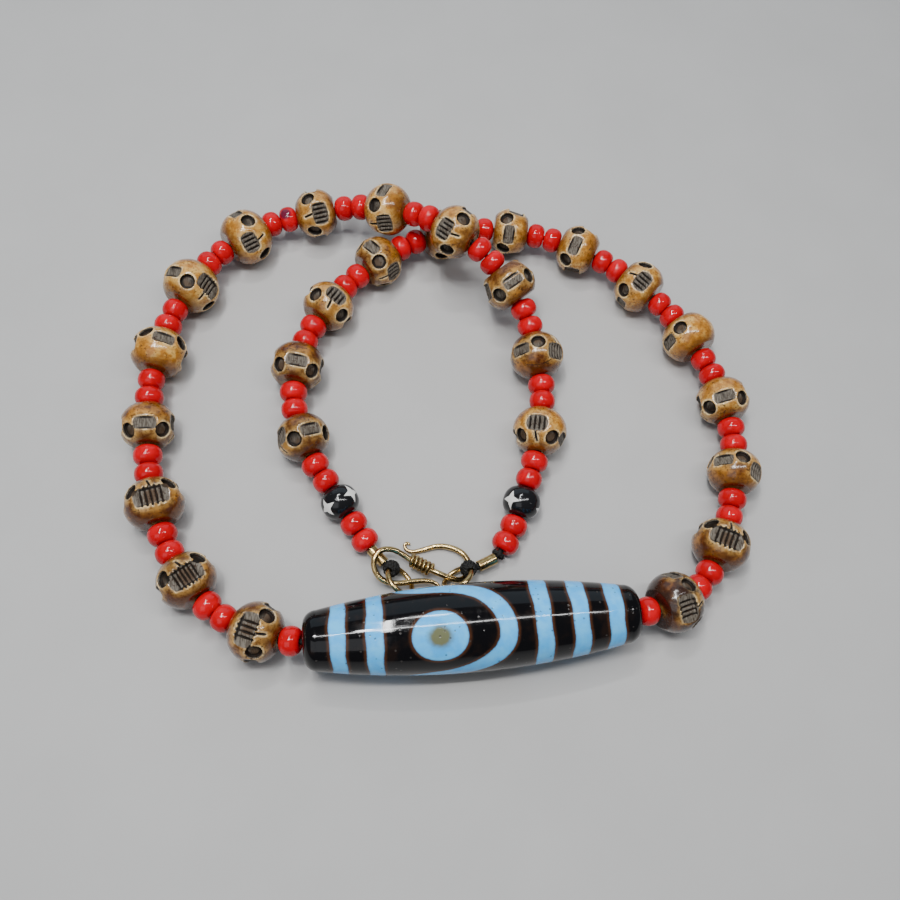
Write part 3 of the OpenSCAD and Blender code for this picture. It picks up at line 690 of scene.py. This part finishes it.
black_glaze, tree, shader = new_material("starred_black_glaze")
spot = millimetres(tree)
marks = use_group(tree, handling, {"Place": spot, "Pit Scale": 2.0, "Pit Share": 0.08,
                                   "Scratch Scale": 2.0})
outline = plus(tree, mark(tree, "star_edge"), swing(tree, noise(tree, spot, 3.0), 0.12))
colour = mixed(tree, ramp(tree, outline, 0.05, -0.05), GLAZE_BLACK, STAR_WHITE)
feed(tree, shader, {"Base Color": colour,
                    "Roughness": plus(tree, times(tree, marks["Pits"], 0.3), 0.12),
                    "Normal": bump(tree, marks["Height"], 0.03), "Specular IOR Level": 0.4})
for strand, (first_star, star_at, star_turns) in STARS.items():
    node = f"black_bead_{strand}"
    points, triangles = cad_mesh(node)
    middle, axis, length = bead_frame(points, triangles)
    girth = 2 * round_axis(points, middle, axis)[1].max()
    verts, faces = round_bead(length, girth, BLACK_BORE, BLACK_FULLNESS, BLACK_TURNS, BLACK_STEPS)
    around = np.degrees(np.arctan2(verts[:, 1], verts[:, 0]))
    aim = Vector((0, 0, 1)).rotation_difference(Vector(axis)).inverted() @ Vector(first_star)
    first_turn = math.degrees(math.atan2(aim.y, aim.x))
    star_edge = np.full(len(verts), 9.0)
    for star_turn in star_turns:
        side = (around - first_turn - star_turn + 180) % 360 - 180
        u, v = np.abs(np.radians(side) * girth / 2), np.abs(verts[:, 2] - star_at)
        blade = np.maximum(np.minimum(u, v) - STAR_WAIST * (1 - np.maximum(u, v) / STAR_REACH),
                           np.maximum(u, v) - STAR_REACH)
        star_edge = np.minimum(star_edge, blade)
    star_edge[np.hypot(verts[:, 0], verts[:, 1]) < girth * 0.25] = 9  # none in the bore
    piece(f"star_bead_{strand}", set_on(verts, middle, axis), faces, "black_glaze", black_glaze,
          [node], star_edge=star_edge)


# Brass fittings: a wire hook bent into an S, a coil of thinner wire round its middle,
# two closed rings and two short tubes. Old brass, bright where it rubs and dark in its
# grooves.
COIL_FATTER = 0.09
# Node, piece, steps of the even mesh, and how often it is softened.
FITTINGS = [("hook", "wire_hook", 0.085, 8),
            ("hook_wrap", "wire_coil", 0.06, 5),
            ("ring_left", "brass_ring_left", 0.075, 3),
            ("ring_right", "brass_ring_right", 0.075, 3),
            ("tube_left", "brass_tube_left", 0.07, 3),
            ("tube_right", "brass_tube_right", 0.07, 3)]
BRASS_BRIGHT, BRASS_DULL = (0.66, 0.48, 0.21), (0.27, 0.175, 0.07)
BRASS_GROOVE = (0.03, 0.02, 0.011)

brass, tree, shader = new_material("aged_brass")
spot = millimetres(tree)
marks = use_group(tree, handling, {"Place": spot, "Pit Scale": 3.0, "Pit Share": 0.12,
                                   "Scratch Scale": 2.4})
stain = noise(tree, spot, 0.9, 4.0, 0.6)
colour = mixed(tree, ramp(tree, stain, 0.35, 0.7), BRASS_BRIGHT, BRASS_DULL)
colour = mixed(tree, ramp(tree, mark(tree, "bend"), 0.0, 1.8), colour, BRASS_GROOVE)
dull = plus(tree, ramp(tree, stain, 0.3, 0.7, 0.14, 0.3), times(tree, marks["Scratches"], 0.2))
relief = plus(tree, marks["Height"], stain)
feed(tree, shader, {"Base Color": colour, "Metallic": 1.0, "Roughness": dull,
                    "Normal": bump(tree, relief, 0.004)})
for node, name, grain, rounds in FITTINGS:
    points, faces, edges = worn_copy(*cad_mesh(node), grain, rounds)
    bend = hollows(points, faces, edges, grain, 4)
    bend = bend - np.median(bend)
    if node == "hook_wrap":
        points = points + outward(points, faces) * COIL_FATTER
    piece(name, points, faces, "brass", brass, [node], bend=bend)


# Thread and knots: black waxed thread that runs through every bead, wound and knotted
# round each ring, with a small stop knot at the end of the left strand.
CORD, WOUND, WEAVE_DEPTH = 0.62, 1.08, 0.26  # width of a turn, growth of the knot, relief
KNOT_GRAIN, KNOT_ROUNDING = 0.07, 4
WAX_BLACK, WAX_DUSTY = (0.003, 0.003, 0.003), (0.012, 0.011, 0.010)

waxed, tree, shader = new_material("waxed_thread")
spot = millimetres(tree)
fibre = noise(tree, spot, 4.0, 4.0, 0.7)
colour = mixed(tree, ramp(tree, fibre, 0.35, 0.7), WAX_BLACK, WAX_DUSTY)
feed(tree, shader, {"Base Color": colour, "Roughness": ramp(tree, fibre, 0.3, 0.7, 0.4, 0.7),
                    "Normal": bump(tree, fibre, 0.08), "Specular IOR Level": 0.3})
for node in ("thread_left", "thread_right"):
    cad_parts[node].data.materials.clear()
    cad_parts[node].data.materials.append(waxed)
for node in ("knot_left", "knot_right", "stop_knot"):
    points, faces, edges = worn_copy(*cad_mesh(node), KNOT_GRAIN, KNOT_ROUNDING)
    facing = outward(points, faces)
    middle = (points.max(0) + points.min(0)) / 2
    lie = (points - middle) @ np.linalg.svd(points[::20] - middle)[2].T  # along, and across twice
    turn = np.arctan2(lie[:, 2], lie[:, 1]) / (2 * math.pi)
    turns = round(2 * math.pi * np.median(np.hypot(lie[:, 1], lie[:, 2])) / CORD)
    up, down = turn * turns + lie[:, 0] / CORD, turn * turns - lie[:, 0] / CORD
    over = (np.floor(up) + np.floor(down)) % 2 == 0
    weave = np.where(over, np.abs(np.sin(math.pi * up)), np.abs(np.sin(math.pi * down)))
    points = middle + (points - middle) * WOUND + facing * (WEAVE_DEPTH * (weave - 0.5))[:, None]
    piece(f"wound_{node}", points, faces, "thread", waxed, [node])


# Table and light: a plain pale tabletop, a narrow strip of light above that draws the
# line along the stone bead, a bar, a cap and a dot that make the hooked highlight on
# each round bead with it, a wide dim window behind, and a weak fill from the front.
TABLE_HALF = 1.2  # metres
TABLE_GREY, TABLE_PALE = (0.40, 0.397, 0.39), (0.45, 0.447, 0.44)

table, tree, shader = new_material("pale_table")
grey = mixed(tree, noise(tree, millimetres(tree), 0.05), TABLE_GREY, TABLE_PALE)
feed(tree, shader, {"Base Color": grey, "Roughness": 0.75})
mesh = bpy.data.meshes.new("tabletop")
corners = [(-1, -1, 0), (1, -1, 0), (1, 1, 0), (-1, 1, 0)]
mesh.from_pydata([Vector(corner) * TABLE_HALF for corner in corners], [], [(0, 1, 2, 3)])
mesh.materials.append(table)
tabletop = bpy.data.objects.new("tabletop", mesh)
bpy.context.scene.collection.objects.link(tabletop)


def area_light(name, at, aim, size, power, colour=(1, 1, 1)):
    """A rectangular light that faces a point, its width level along x, both in metres."""
    light = bpy.data.lights.new(name, "AREA")
    light.shape = "RECTANGLE"
    light.size, light.size_y = size
    light.energy = power
    light.color = colour
    lamp = bpy.data.objects.new(name, light)
    back = (Vector(at) - Vector(aim)).normalized()
    side = Vector((1, 0, 0)) - back * back.x
    side.normalize()
    lamp.matrix_world = Matrix((side, back.cross(side), back)).transposed().to_4x4()
    lamp.matrix_world.translation = Vector(at)
    bpy.context.scene.collection.objects.link(lamp)


area_light("strip", (0.03, -0.03, 0.31), (0.03, -0.04, 0), (0.38, 0.010), 0.7)
area_light("bar", (-0.088, 0.04, 0.42), (0, 0, 0), (0.014, 0.24), 0.95)
area_light("cap", (-0.03, 0.17, 0.42), (0, 0, 0), (0.08, 0.014), 0.4)
area_light("dot", (-0.13, 0.0, 0.45), (0, 0, 0), (0.028, 0.028), 0.35)
area_light("window", (0, 0.50, 0.30), (0, 0, 0), (0.9, 0.45), 1.0, (0.68, 0.85, 1.0))
area_light("fill", (-0.3, -0.35, 0.45), (0, 0, 0), (0.4, 0.4), 0.6, (0.93, 0.96, 1.0))
world = bpy.data.worlds.new("studio")
world.use_nodes = True
feed(world.node_tree, world.node_tree.nodes["Background"],
     {"Color": (0.86, 0.9, 1.0, 1), "Strength": 0.13})
bpy.context.scene.world = world
